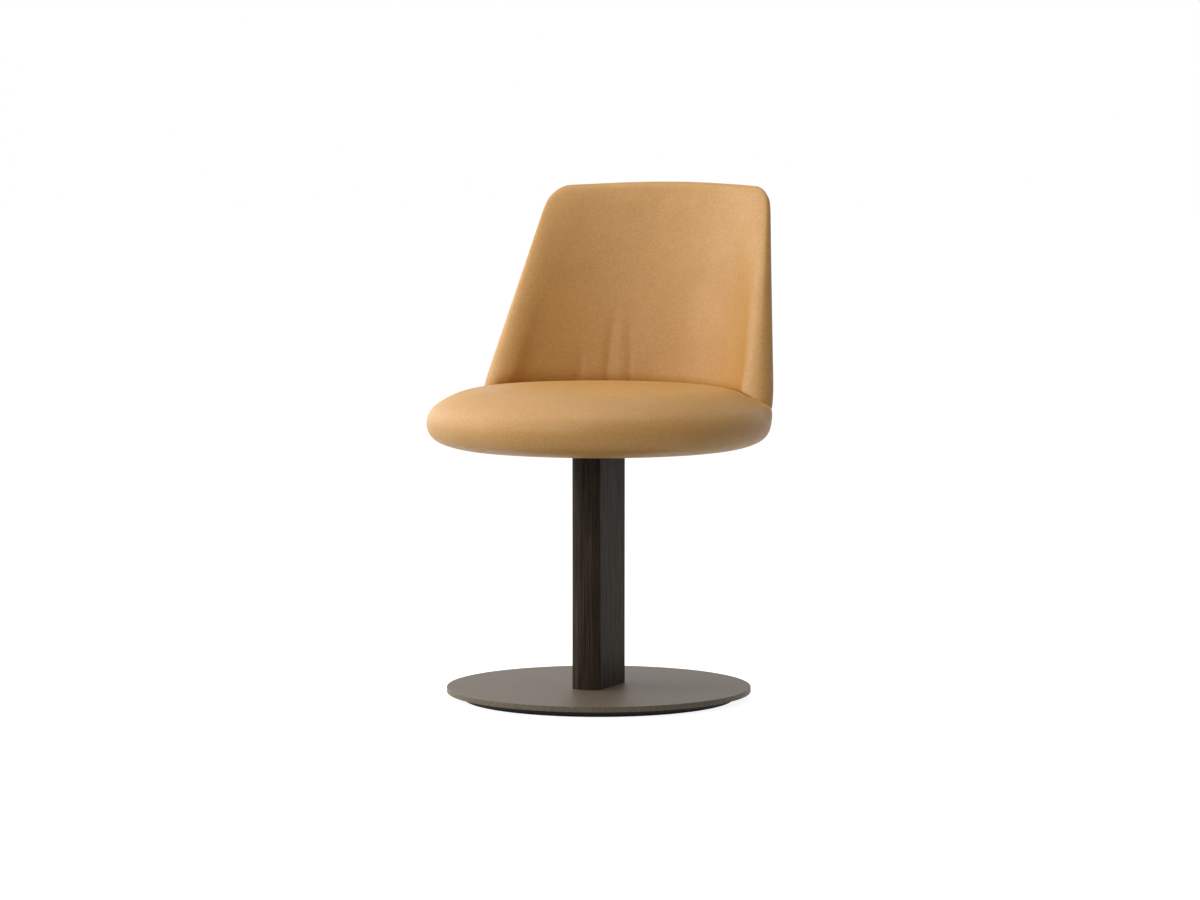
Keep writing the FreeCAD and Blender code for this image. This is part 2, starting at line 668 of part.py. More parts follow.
def half_thickness_at(height, inset):
    """Half the back's thickness at a height, less the inset."""
    return between(FOOT_THICKNESS, TOP_THICKNESS, share_at(height)) / 2 - inset


def tuck_sections(inset, drop):
    """The sections that draw the back in at its lower edge, the lowest one carried down by a drop."""
    sections = []
    for angle in TUCK_ANGLES:
        turn = math.radians(angle)
        height = lower_edge + BACK_TUCK_RADIUS * (1 - math.sin(turn))
        half = half_thickness_at(height, inset) - BACK_TUCK_RADIUS * (1 - math.cos(turn))
        if drop and not sections:
            sections.append(back_section(height - drop, half, 0.0, half))
        sections.append(back_section(height, half, 0.0, half))
    return sections


def rim_sections(inset):
    """The sections that round the upper corners and the top edge, at the same heights for any inset."""
    full_roll = TOP_THICKNESS / 2
    roll = full_roll - inset
    corner_height = top_height - TOP_CORNER_RADIUS
    sections = []
    for angle in RIM_ANGLES:
        full_rise = (TOP_CORNER_RADIUS + full_roll) * math.sin(math.radians(angle))
        corner_rise = min(full_rise, TOP_CORNER_RADIUS)
        over = (full_rise - corner_rise) / full_roll
        rise = corner_rise + over * roll
        half = half_thickness_at(corner_height + corner_rise, inset) * math.sqrt(1 - over ** 2)
        band_end = math.sqrt(TOP_CORNER_RADIUS ** 2 - corner_rise ** 2)
        nose_end = math.sqrt((TOP_CORNER_RADIUS + roll) ** 2 - rise ** 2)
        margin = TOP_CORNER_RADIUS - band_end
        sections.append(back_section(corner_height + rise, half, margin, nose_end - band_end))
    return sections


def back_body(inset=0.0, drop=0.0):
    """The padded back's form, smaller all over by the inset, and carried down by a drop."""
    tuck = tuck_sections(inset, drop)
    rim = rim_sections(inset)
    middle = Part.makeLoft([tuck[-1], rim[0]], True, True)
    return Part.makeLoft(tuck, True, True).fuse(middle).fuse(Part.makeLoft(rim, True, False))


def core_body(grown=0.0):
    """The plywood core's form, larger all over where grown."""
    half = CORE_THICKNESS / 2 + grown
    sections = [
        back_section(height, half, CORE_MARGIN, half)
        for height in (core_bottom - grown, top_height - CORE_MARGIN + grown)
    ]
    return Part.makeLoft(sections, True, True)


def bracket_place(position):
    """Where a bracket stands, at a share of the back's half angle: its turn, and its reach low and high."""
    lower, upper = board_top, board_top + BRACKET_RISE
    centre, radius, half_angle = back_arc(lower)
    angle = position * (half_angle - CORE_MARGIN / radius)
    out = Vector(math.sin(angle), math.cos(angle), 0)

    def reach_at(height):
        middle, arc_radius, _ = back_arc(height)
        # Distance from the lower arc's centre to this height's arc, along the outward direction
        shift = middle - centre
        along = shift * math.cos(angle)
        across = shift * math.sin(angle)
        return along + math.sqrt(arc_radius ** 2 - across ** 2) - CORE_THICKNESS / 2

    bow = BRACKET_WIDTH ** 2 / (8 * (radius - CORE_THICKNESS))
    gap = bow + BRACKET_GAP
    return angle, centre, out, reach_at(lower) - gap, reach_at(upper) - gap


def in_bracket_place(solid, position):
    """Moves a solid from the bracket's own frame, where X points outward, to the chair."""
    angle, centre, _, _, _ = bracket_place(position)
    solid.rotate(Vector(0, 0, 0), UP, 90 - math.degrees(angle))
    solid.translate(Vector(0, centre, 0))
    return solid


def bracket_body(position, grown=0.0):
    """A bracket's angled strip: a foot on the board and an upright that follows the core's lean."""
    _, _, _, low_reach, high_reach = bracket_place(position)
    lean = (high_reach - low_reach) / BRACKET_RISE
    foot, top = board_top, board_top + BRACKET_RISE + grown
    thick = BRACKET_THICKNESS
    heel = low_reach
    back = BRACKET_GAP + CORE_THICKNESS / 2 if grown else 0.0
    corners = [
        Vector(heel - BRACKET_FOOT_LENGTH - grown, 0, foot),
        Vector(heel + back, 0, foot),
        Vector(heel + lean * (top - foot) + back, 0, top),
        Vector(heel + lean * (top - foot) - thick - grown, 0, top),
        Vector(heel + lean * thick - thick - grown, 0, foot + thick + grown),
        Vector(heel - BRACKET_FOOT_LENGTH - grown, 0, foot + thick + grown),
    ]
    half = BRACKET_WIDTH / 2 + grown
    profile = Part.Face(Part.makePolygon(corners + corners[:1]))
    profile.translate(Vector(0, -half, 0))
    return in_bracket_place(profile.extrude(Vector(0, 2 * half, 0)), position)


def board_screws_at(position, grown=0.0):
    """The screws through a bracket's foot into the board, or their holes where grown."""
    heel = bracket_place(position)[3]
    head_seat = board_top + BRACKET_THICKNESS
    screws = []
    for reach in BOARD_SCREW_REACHES:
        x = heel - BRACKET_FOOT_LENGTH + reach
        tip = board_top - BOARD_SCREW_BITE - grown
        shank = cylinder(BRACKET_SCREW_DIAMETER + 2 * grown, tip, head_seat, x)
        head = cylinder(
            BRACKET_SCREW_HEAD + 2 * grown, head_seat, head_seat + BRACKET_SCREW_HEAD_HEIGHT + grown, x
        )
        screws.append(in_bracket_place(shank.fuse(head), position))
    return screws


def core_screws_at(position, grown=0.0):
    """The screws through a bracket's upright into the core, or their holes where grown."""
    _, _, _, low_reach, high_reach = bracket_place(position)
    lean = (high_reach - low_reach) / BRACKET_RISE
    outward = Vector(1, 0, -lean)
    outward.normalize()
    screws = []
    for rise in CORE_SCREW_HEIGHTS:
        face = Vector(low_reach + lean * rise, 0, board_top + rise) - outward * BRACKET_THICKNESS
        shank = Part.makeCylinder(
            BRACKET_SCREW_DIAMETER / 2 + grown, BRACKET_THICKNESS + CORE_SCREW_BITE + grown, face, outward
        )
        head_start = face - outward * (BRACKET_SCREW_HEAD_HEIGHT + grown)
        head = Part.makeCylinder(
            BRACKET_SCREW_HEAD / 2 + grown, BRACKET_SCREW_HEAD_HEIGHT + grown, head_start, outward
        )
        screws.append(in_bracket_place(shank.fuse(head), position))
    return screws


def board_screw_set(grown=0.0):
    """All the screws into the board."""
    return [screw for position in BRACKET_POSITIONS for screw in board_screws_at(position, grown)]


def core_screw_set(grown=0.0):
    """All the screws into the core."""
    return [screw for position in BRACKET_POSITIONS for screw in core_screws_at(position, grown)]


def back_bracket(position):
    """One steel bracket, drilled for its screws."""
    holes = board_screws_at(position, SCREW_CLEARANCE) + core_screws_at(position, SCREW_CLEARANCE)
    return cut_all(bracket_body(position), holes)


def back_core():
    """The curved plywood inside the back."""
    return cut_all(core_body(), core_screw_set(SCREW_CLEARANCE))


def hidden_steel_spaces():
    """The room that the core, the brackets and their screws take up in the padding."""
    spaces = [core_body(CORE_CLEARANCE)]
    for position in BRACKET_POSITIONS:
        spaces.append(bracket_body(position, BRACKET_GAP))
    return spaces + board_screw_set(BRACKET_GAP) + core_screw_set(BRACKET_GAP)


def back_foam(spaces):
    """The moulded foam round the core, ending on the seat."""
    foam = back_body(LEATHER_THICKNESS + FOAM_GAP)
    return cut_all(foam, [seat_body(-SEAT_JOINT_GAP)] + spaces)


def back_cover():
    """The leather over the back, open where it meets the seat."""
    shell = back_body().cut(back_body(LEATHER_THICKNESS, BACK_TUCK_RADIUS))
    return shell.cut(seat_body(-SEAT_JOINT_GAP))


def main():
    """Builds every piece and writes one STEP file for each node."""
    spaces = hidden_steel_spaces()
    pieces = {
        "floor_felt": floor_felt(),
        "ballast_disc": ballast_disc(),
        "base_plate": base_plate(),
        "ballast_screws": joined(ballast_screw_set()),
        "foot_screws": joined(foot_screw_set()),
        "foot_flange": foot_flange(),
        "core_post": core_post(),
        "wood_column": wood_column(),
        "swivel_housing": swivel_housing(),
        "housing_screws": joined(cap_screw_set()),
        "upper_bush": upper_bush(),
        "lower_bush": lower_bush(),
        "lower_race": lower_race(),
        "ball_cage": ball_cage(),
        "bearing_balls": bearing_balls(),
        "upper_race": upper_race(),
        "spindle": spindle(),
        "spindle_washer": spindle_washer(),
        "spindle_circlip": spindle_circlip(),
        "swivel_shroud": swivel_shroud(),
        "seat_spider": seat_spider(),
        "seat_bolts": seat_bolts(),
        "tee_nuts": tee_nuts(),
        "seat_board": seat_board(),
        "dust_cover": dust_cover(),
        "seat_foam": seat_foam(spaces),
        "seat_cover": seat_cover(spaces),
        "board_screws": joined(board_screw_set()),
        "core_screws": joined(core_screw_set()),
        "back_core": back_core(),
        "back_foam": back_foam(spaces),
        "back_cover": back_cover(),
    }
    for name, position in zip(BRACKET_NAMES, BRACKET_POSITIONS):
        pieces[name] = back_bracket(position)
    os.makedirs("parts", exist_ok=True)
    for name, shape in pieces.items():
        solids = shape.Solids
        print(name, len(solids), "solids", round(sum(s.Volume for s in solids)), "mm3", shape.isValid())
        if len(solids) == 1:
            shape = solids[0]
        shape.exportStep("parts/" + name + ".step")


main()
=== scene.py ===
import json
import math

import bmesh
import bpy
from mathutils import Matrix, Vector


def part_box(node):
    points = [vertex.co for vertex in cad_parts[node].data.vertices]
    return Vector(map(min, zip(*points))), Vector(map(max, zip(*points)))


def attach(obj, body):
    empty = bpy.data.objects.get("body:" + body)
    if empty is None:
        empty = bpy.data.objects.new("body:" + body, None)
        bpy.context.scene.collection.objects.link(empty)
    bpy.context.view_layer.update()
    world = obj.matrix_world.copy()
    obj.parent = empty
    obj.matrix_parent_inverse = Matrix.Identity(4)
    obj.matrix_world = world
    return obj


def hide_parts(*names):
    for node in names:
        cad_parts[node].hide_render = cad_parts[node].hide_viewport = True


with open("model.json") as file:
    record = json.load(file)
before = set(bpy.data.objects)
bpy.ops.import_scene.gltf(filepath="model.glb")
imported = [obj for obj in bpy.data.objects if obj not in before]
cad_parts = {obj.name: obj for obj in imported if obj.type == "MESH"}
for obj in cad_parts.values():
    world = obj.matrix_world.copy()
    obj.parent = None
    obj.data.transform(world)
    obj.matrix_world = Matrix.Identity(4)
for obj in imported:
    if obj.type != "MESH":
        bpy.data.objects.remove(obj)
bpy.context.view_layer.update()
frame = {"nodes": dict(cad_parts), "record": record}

# The seat pad's turned outline, in metres, after the CAD model's driving sizes
SEAT_RIM_HEIGHT = 0.408
SEAT_RIM_RADIUS = 0.032
SEAT_RIM_SWEEP = math.radians(56)
SEAT_SHOULDER_RADIUS = 0.177
SEAT_SHOULDER_SWEEP = math.radians(24)
SEAT_UNDER_RADIUS = 0.0295
SEAT_UNDER_SWEEP = math.radians(66)
SEAT_BELLY_RADIUS = 0.110

# How far the crown is flattened at its middle, and out to which distance
SEAT_CROWN_DROP = 0.0145
SEAT_FLAT_REACH = 0.215
SEAT_FLAT_POWER = 1.35

# How square the rim is under the back and how far it stands out there, up to two turns from +Y
SEAT_SQUARENESS = 2.4
SEAT_FLUSH = 0.0030
SQUARE_FULL = math.radians(70)
SQUARE_END = math.radians(80)

# The leather's turned-in edge, and the recess for the seat board and its dust cover
LEATHER_THICKNESS = 0.0014
EDGE_CLEARANCE = 0.001
LIP_CLEARANCE = 0.0006
BOARD_CLEARANCE = 0.0003
BOARD_CLEARANCE_BELOW = 0.0002
RECESS_RING_SHARE = 0.5

# The back pad's form, from its foot on the seat to its top edge
BACK_FOOT_RISE = 0.002
BACK_HEIGHT = 0.333
FOOT_THICKNESS = 0.0434
FOOT_FLARE = 0.0042
FOOT_END_ANGLE = math.radians(68.8)
TOP_THICKNESS = 0.0188
TOP_NARROWING = 0.0478
TOP_END_LEAN = 0.1392
TOP_MIDDLE_LEAN = 0.036
TOP_CORNER_RADIUS = 0.0205
TOP_EDGE_CROWN = 0.0068
TOP_EDGE_SWEEP = math.radians(86)
LOWER_EDGE_RISE = 0.020
JOINT_GAP = 0.0001

# How the leather is drawn in above the joint: a tuck inside, and a taper and a small corner outside
TUCK_RADIUS_LEFT = 0.034
TUCK_RADIUS_RIGHT = 0.006
TUCK_DEPTH_LEFT = 0.0160
TUCK_DEPTH_RIGHT = 0.0010
FOOT_TAPER_HEIGHT = 0.045
FOOT_TAPER = 0.0026
FOOT_CORNER = 0.0006

# The padded rims inside the back's ends, up to a share of its height, and how they roll over the ends
LEFT_RIM_DEPTH = 0.0060
RIGHT_RIM_DEPTH = 0.0120
END_RIM_WIDTH = 0.023
END_RIM_SHARE = 0.85
FOOT_ROLL = 0.006
TOP_ROLL = 0.050

seat_low, seat_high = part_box("seat_cover")
board_low, board_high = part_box("seat_board")
dust_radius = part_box("dust_cover")[1].x
seat_radius = seat_high.x
foot_height = SEAT_RIM_HEIGHT + BACK_FOOT_RISE
top_height = foot_height + BACK_HEIGHT
corner_height = top_height - TOP_CORNER_RADIUS
lower_edge = SEAT_RIM_HEIGHT + LOWER_EDGE_RISE
foot_middle_reach = seat_radius - FOOT_THICKNESS / 2
foot_end_distance = foot_middle_reach + FOOT_FLARE
foot_half_width = foot_end_distance * math.sin(FOOT_END_ANGLE)
foot_end_reach = foot_end_distance * math.cos(FOOT_END_ANGLE)
top_half_width = foot_half_width - TOP_NARROWING
top_end_reach = foot_end_reach + TOP_END_LEAN
top_middle_reach = foot_middle_reach + TOP_MIDDLE_LEAN


# Shader helpers

# Blender's numbers for the sockets of a colour mix
MIX_SHARE = 0
MIX_FIRST = 6
MIX_SECOND = 7
MIX_RESULT = 2


def new_material(name, colour, roughness, **sockets):
    """A Principled material, its node tree and its shader. Sockets go by label, with _ for a space."""
    material = bpy.data.materials.new(name)
    material.use_nodes = True
    tree = material.node_tree
    shader = tree.nodes["Principled BSDF"]
    shader.inputs["Base Color"].default_value = (*colour, 1.0)
    shader.inputs["Roughness"].default_value = roughness
    for label, value in sockets.items():
        shader.inputs[label.replace("_", " ")].default_value = value
    return material, tree, shader


def feed(tree, shader, **outputs):
    """Links outputs to the shader's sockets, which go by label, with _ for a space."""
    for label, output in outputs.items():
        tree.links.new(output, shader.inputs[label.replace("_", " ")])


def add_node(tree, kind, inputs=None, **settings):
    """A node with its settings and the values of its inputs, which may be sockets to link from."""
    node = tree.nodes.new("ShaderNode" + kind)
    for key, value in settings.items():
        setattr(node, key, value)
    for key, value in (inputs or {}).items():
        if isinstance(value, bpy.types.NodeSocket):
            tree.links.new(value, node.inputs[key])
        else:
            node.inputs[key].default_value = value
    return node


def object_place(tree, stretch=(1, 1, 1)):
    """The surface's place in metres in the frame, scaled along each axis."""
    place = add_node(tree, "TexCoord")
    mapping = add_node(tree, "Mapping", {"Vector": place.outputs["Object"], "Scale": stretch})
    return mapping.outputs["Vector"]


def noise(tree, place, scale, detail, roughness=0.5, distortion=0.0):
    """A noise texture's value."""
    inputs = {"Vector": place, "Scale": scale, "Detail": detail, "Roughness": roughness}
    inputs["Distortion"] = distortion
    return add_node(tree, "TexNoise", inputs).outputs["Fac"]


def ramp(tree, value, *stops):
    """A colour ramp over a value, with stops of (place, colour)."""
    node = add_node(tree, "ValToRGB", {"Fac": value})
    elements = node.color_ramp.elements
    while len(elements) < len(stops):
        elements.new(0.5)
    for element, (position, colour) in zip(elements, stops):
        element.position = position
        element.color = (*colour, 1.0)
    return node.outputs["Color"]


def grey_ramp(tree, value, *stops):
    """A ramp between grey levels, used as a number."""
    return ramp(tree, value, *[(position, (level, level, level)) for position, level in stops])


def multiplied(tree, first, second, share=1.0):
    """A colour multiplied by a second one, or a share of the way there."""
    node = add_node(tree, "Mix", {MIX_SHARE: share}, data_type="RGBA", blend_type="MULTIPLY")
    for index, value in ((MIX_FIRST, first), (MIX_SECOND, second)):
        if isinstance(value, bpy.types.NodeSocket):
            tree.links.new(value, node.inputs[index])
        else:
            node.inputs[index].default_value = (*value, 1.0)
    return node.outputs[MIX_RESULT]


def bump(tree, height, strength, distance, normal=None):
    """A bump of a height texture over a distance in metres."""
    inputs = {"Height": height, "Strength": strength, "Distance": distance}
    if normal is not None:
        inputs["Normal"] = normal
    return add_node(tree, "Bump", inputs).outputs["Normal"]


# Materials

LEATHER = (0.510, 0.264, 0.066)
LEATHER_WORN = (0.530, 0.278, 0.073)
LEATHER_DEEP = (0.490, 0.250, 0.060)
OAK = (0.045, 0.036, 0.030)
OAK_PORES = (0.019, 0.013, 0.008)
OAK_STAINED = (0.038, 0.027, 0.017)
OAK_PALE = (0.066, 0.046, 0.029)
BRONZE_COAT = (0.138, 0.106, 0.073)
BLACK_COAT = (0.012, 0.011, 0.010)
BIRCH = (0.56, 0.40, 0.24)
BIRCH_DARK = (0.45, 0.31, 0.18)
BIRCH_PALE = (0.62, 0.46, 0.29)
FOAM = (0.80, 0.74, 0.55)
BLACK_FELT = (0.020, 0.019, 0.018)
BLACK_CLOTH = (0.016, 0.016, 0.016)


def leather_material():
    """Smooth tan leather: a fine pebbled grain with pores, and slightly uneven colour and shine."""
    material, tree, shader = new_material("tan_leather", LEATHER, 0.52, Specular_IOR_Level=0.62)
    place = object_place(tree)
    patches = noise(tree, place, scale=9.0, detail=3.0, distortion=0.4)
    tone = ramp(tree, patches, (0.32, LEATHER_DEEP), (0.5, LEATHER), (0.70, LEATHER_WORN))
    specks = noise(tree, place, scale=300.0, detail=3.0, roughness=0.7)
    mottle = grey_ramp(tree, specks, (0.3, 0.86), (0.7, 1.10))
    pebbles = noise(tree, place, scale=210.0, detail=4.0, roughness=0.65)
    pores = add_node(tree, "TexVoronoi", {"Vector": place, "Scale": 520.0, "Randomness": 1.0}, feature="F1")
    grain = grey_ramp(tree, pores.outputs["Distance"], (0.0, 0.0), (0.55, 1.0))
    normal = bump(tree, pebbles, strength=0.24, distance=0.0012)
    normal = bump(tree, grain, strength=0.26, distance=0.0004, normal=normal)
    handling = noise(tree, place, scale=35.0, detail=4.0, roughness=0.6)
    shine = grey_ramp(tree, handling, (0.3, 0.47), (0.7, 0.57))
    feed(tree, shader, Base_Color=multiplied(tree, tone, mottle), Normal=normal, Roughness=shine)
    return material


def oak_material():
    """Dark stained oak with its grain along Z: long pores, darker bands and a dry sheen."""
    material, tree, shader = new_material("dark_oak", OAK, 0.55, Specular_IOR_Level=0.08)
    along_bands = object_place(tree, (1, 1, 0.05))
    bands = noise(tree, along_bands, scale=95.0, detail=5.0, roughness=0.6, distortion=0.8)
    tone = ramp(tree, bands, (0.30, OAK_PORES), (0.52, OAK_STAINED), (0.72, OAK_PALE))
    fibres = noise(tree, object_place(tree, (1, 1, 0.018)), scale=620.0, detail=4.0, roughness=0.7)
    lines = grey_ramp(tree, fibres, (0.40, 0.45), (0.60, 1.35))
    normal = bump(tree, fibres, strength=0.35, distance=0.0006)
    shine = grey_ramp(tree, fibres, (0.3, 0.66), (0.7, 0.48))
    feed(tree, shader, Base_Color=multiplied(tree, tone, lines), Normal=normal, Roughness=shine)
    return material


def coated_material(name, colour, roughness):
    """Powder coat: a fine orange-peel surface with a slight speckle."""
    material, tree, shader = new_material(name, colour, roughness, Specular_IOR_Level=0.3)
    place = object_place(tree)
    grain = noise(tree, place, scale=270.0, detail=4.0, roughness=0.8)
    speckles = grey_ramp(tree, grain, (0.35, 0.70), (0.65, 1.30))
    patches = grey_ramp(tree, noise(tree, place, scale=7.0, detail=3.0), (0.3, 0.95), (0.7, 1.05))
    shade = multiplied(tree, speckles, patches)
    normal = bump(tree, grain, strength=0.35, distance=0.0005)
    feed(tree, shader, Base_Color=multiplied(tree, colour, shade), Normal=normal)
    return material


def steel_material(name, colour, roughness):
    """Bare or plated steel with fine turning marks."""
    material, tree, shader = new_material(name, colour, roughness, Metallic=1.0)
    marks = noise(tree, object_place(tree, (1, 1, 0.04)), scale=900.0, detail=3.0, roughness=0.6)
    shine = grey_ramp(tree, marks, (0.3, roughness * 0.8), (0.7, roughness * 1.25))
    feed(tree, shader, Normal=bump(tree, marks, strength=0.08, distance=0.0001), Roughness=shine)
    return material


def plastic_material(name, colour, roughness):
    """Moulded plastic with a faint texture."""
    material, tree, shader = new_material(name, colour, roughness)
    place = object_place(tree)
    cloud = grey_ramp(tree, noise(tree, place, scale=60.0, detail=3.0), (0.3, 0.94), (0.7, 1.06))
    normal = bump(tree, noise(tree, place, scale=1500.0, detail=2.0), strength=0.1, distance=0.0001)
    feed(tree, shader, Base_Color=multiplied(tree, colour, cloud), Normal=normal)
    return material


def plywood_material():
    """Birch plywood: pale faces with long grain, and thin layers on the edges."""
    material, tree, shader = new_material("plywood", BIRCH, 0.6)
    along_grain = object_place(tree, (1, 0.08, 1))
    grain = noise(tree, along_grain, scale=120.0, detail=5.0, roughness=0.6, distortion=0.6)
    face = ramp(tree, grain, (0.3, BIRCH_DARK), (0.7, BIRCH_PALE))
    waves = {"Vector": object_place(tree), "Scale": 110.0, "Distortion": 0.6}
    layers = add_node(tree, "TexWave", waves, wave_type="BANDS", bands_direction="Z").outputs["Fac"]
    stripes = grey_ramp(tree, layers, (0.35, 0.72), (0.65, 1.0))
    normal = bump(tree, grain, strength=0.15, distance=0.0004)
    feed(tree, shader, Base_Color=multiplied(tree, face, stripes, share=0.6), Normal=normal)
    return material


def cloth_material(name, colour, scale, strength):
    """A woven or felted black cloth, with its threads from two crossed waves."""
    material, tree, shader = new_material(name, colour, 0.95, Sheen_Weight=0.25, Sheen_Roughness=0.6)
    place = object_place(tree)
    threads = {"Vector": place, "Scale": scale, "Distortion": 1.5}
    warp = add_node(tree, "TexWave", threads, bands_direction="X").outputs["Color"]
    weft = add_node(tree, "TexWave", threads, bands_direction="Y").outputs["Color"]
    fuzz = noise(tree, place, scale=scale, detail=4.0, roughness=0.7)
    shade = grey_ramp(tree, fuzz, (0.3, 0.7), (0.7, 1.3))
    normal = bump(tree, multiplied(tree, warp, weft), strength=strength, distance=0.0004)
    feed(tree, shader, Base_Color=multiplied(tree, colour, shade), Normal=normal)
    return material


def foam_material():
    """Open-cell foam."""
    material, tree, shader = new_material("foam", FOAM, 0.9)
    cells = add_node(tree, "TexVoronoi", {"Vector": object_place(tree), "Scale": 700.0}).outputs["Distance"]
    shade = grey_ramp(tree, cells, (0.0, 0.75), (0.6, 1.05))
    normal = bump(tree, cells, strength=0.4, distance=0.0006)
    feed(tree, shader, Base_Color=multiplied(tree, FOAM, shade), Normal=normal)
    return material


materials = {
    "tan_leather": leather_material(),
    "dark_oak": oak_material(),
    "bronze_coat": coated_material("bronze_coat", BRONZE_COAT, roughness=0.50),
    "black_steel": coated_material("black_steel", BLACK_COAT, roughness=0.6),
    "bare_steel": steel_material("bare_steel", (0.50, 0.49, 0.47), roughness=0.34),
    "screw_steel": steel_material("screw_steel", (0.58, 0.57, 0.54), roughness=0.30),
    "bearing_steel": steel_material("bearing_steel", (0.66, 0.66, 0.66), roughness=0.14),
    "bush_plastic": plastic_material("bush_plastic", (0.74, 0.72, 0.64), roughness=0.42),
    "cage_plastic": plastic_material("cage_plastic", (0.07, 0.15, 0.09), roughness=0.40),
    "shroud_plastic": plastic_material("shroud_plastic", (0.018, 0.017, 0.016), roughness=0.5),
    "plywood": plywood_material(),
    "foam": foam_material(),
    "felt": cloth_material("felt", BLACK_FELT, scale=600.0, strength=0.3),
    "dust_cloth": cloth_material("dust_cloth", BLACK_CLOTH, scale=900.0, strength=0.5),
}


def dress_cad_nodes():
    """Gives every CAD node the material of its slot."""
    for part in frame["record"]["subparts"]:
        node = frame["nodes"][part["node"]]
        node.data.materials.clear()
        node.data.materials.append(materials[part["material_slot"]])


# Small sums

def between(first, last, share):
    """A value at a share of the way from a first to a last one."""
    return first + (last - first) * share


def clamped(value):
    """A value kept between 0 and 1."""
    return max(0.0, min(1.0, value))


def smooth_step(share):
    """A share from 0 to 1, made to start and stop gently."""
    return share * share * (3 - 2 * share)


# The seat's turned form: arcs that meet tangentially, each as (centre, radius, first angle, last angle)

SEARCH_HALVINGS = 30


def stepped(centre, radius, next_radius, angle):
    """The centre of the next arc, where two arcs touch at an angle above the horizontal."""
    step = radius - next_radius
    return centre[0] + step * math.cos(angle), centre[1] + step * math.sin(angle)


shoulder_end = SEAT_RIM_SWEEP + SEAT_SHOULDER_SWEEP
rim_centre = (seat_radius - SEAT_RIM_RADIUS, SEAT_RIM_HEIGHT)
shoulder_centre = stepped(rim_centre, SEAT_RIM_RADIUS, SEAT_SHOULDER_RADIUS, SEAT_RIM_SWEEP)
crown_radius = SEAT_SHOULDER_RADIUS + shoulder_centre[0] / math.cos(shoulder_end)
crown_centre = stepped(shoulder_centre, SEAT_SHOULDER_RADIUS, crown_radius, shoulder_end)
under_centre = (seat_radius - SEAT_UNDER_RADIUS, SEAT_RIM_HEIGHT)
belly_centre = stepped(under_centre, SEAT_UNDER_RADIUS, SEAT_BELLY_RADIUS, -SEAT_UNDER_SWEEP)
top_arcs = (
    (crown_centre, crown_radius, math.pi / 2, shoulder_end),
    (shoulder_centre, SEAT_SHOULDER_RADIUS, shoulder_end, SEAT_RIM_SWEEP),
    (rim_centre, SEAT_RIM_RADIUS, SEAT_RIM_SWEEP, 0.0),
)
profile_arcs = top_arcs + (
    (under_centre, SEAT_UNDER_RADIUS, 0.0, -SEAT_UNDER_SWEEP),
    (belly_centre, SEAT_BELLY_RADIUS, -SEAT_UNDER_SWEEP, -math.pi / 2),
)
top_length = sum(radius * (first - last) for _, radius, first, last in top_arcs)
profile_length = sum(radius * (first - last) for _, radius, first, last in profile_arcs)


def profile_point(length):
    """A point of the seat's profile, as (distance from the axis, height), at a length from its middle."""
    for centre, radius, first, last in profile_arcs:
        arc_length = radius * (first - last)
        if length <= arc_length:
            angle = first - length / radius
            return centre[0] + radius * math.cos(angle), centre[1] + radius * math.sin(angle)
        length -= arc_length
    return belly_centre[0] - length, seat_low.z


def squared(distance, height, share):
    """A point of the seat's profile, pushed outward where the rim is squarer, under the back."""
    across = (distance - rim_centre[0]) / SEAT_RIM_RADIUS
    up = (height - rim_centre[1]) / SEAT_RIM_RADIUS
    if across <= 0 or up <= 0:
        return distance, height
    power = 2 + SEAT_SQUARENESS * share
    push = math.hypot(across, up) / (across ** power + up ** power) ** (1 / power)
    flush = SEAT_FLUSH * share * min(1.0, 2 * up) * min(1.0, across)
    distance = rim_centre[0] + SEAT_RIM_RADIUS * across * push + flush
    return distance, rim_centre[1] + SEAT_RIM_RADIUS * up * push


def square_share(x, y):
    """How far the rim is squared at a place: fully under the back, and not at all in front of it."""
    turn = abs(math.atan2(x, y))
    return smooth_step(clamped((SQUARE_END - turn) / (SQUARE_END - SQUARE_FULL)))


def seat_top_at(distance):
    """The height of the seat's top under the back at a distance from the axis, or None beyond its rim."""
    if distance >= seat_radius + SEAT_FLUSH:
        return None
    low, high = 0.0, top_length
    for _ in range(SEARCH_HALVINGS):
        middle = (low + high) / 2
        if squared(*profile_point(middle), 1.0)[0] < distance:
            low = middle
        else:
            high = middle
    return squared(*profile_point(low), 1.0)[1]


# The back's form, as sections of a curved band with round ends

JOINT_ROUNDS = 4


def share_at(height):
    """How far up the back a height lies, from 0 at its foot to 1 at its top edge."""
    return (height - foot_height) / BACK_HEIGHT


def back_arc(height):
    """The back's middle arc at a height: its centre's Y, its radius and half its angle."""
    share = share_at(height)
    half_width = between(foot_half_width, top_half_width, share)
    end_reach = between(foot_end_reach, top_end_reach, share)
    rise = between(foot_middle_reach, top_middle_reach, share) - end_reach
    radius = (half_width ** 2 + rise ** 2) / (2 * rise)
    centre = end_reach + rise - radius
    return centre, radius, math.atan2(half_width, end_reach - centre)


def half_thickness_at(height):
    """Half the back's thickness at a height."""
    return between(FOOT_THICKNESS, TOP_THICKNESS, share_at(height)) / 2


def inner_half(height, half, nose, side, from_end, beyond):
    """How far the inner side lies inside the middle arc, with the padded rim and its roll over the end."""
    share = clamped(share_at(height))
    roll = between(FOOT_ROLL, TOP_ROLL, share)
    rim_depth = RIGHT_RIM_DEPTH if side > 0 else LEFT_RIM_DEPTH
    rim = rim_depth * max(0.0, 1 - share / END_RIM_SHARE) * math.exp(-(from_end / END_RIM_WIDTH) ** 2)
    inner = half + rim * min(1.0, half / FOOT_THICKNESS * 2)
    into_roll = max(0.0, roll - from_end + beyond)
    return inner * math.sqrt(max(0.0, 1 - (into_roll / (roll + nose)) ** 2))


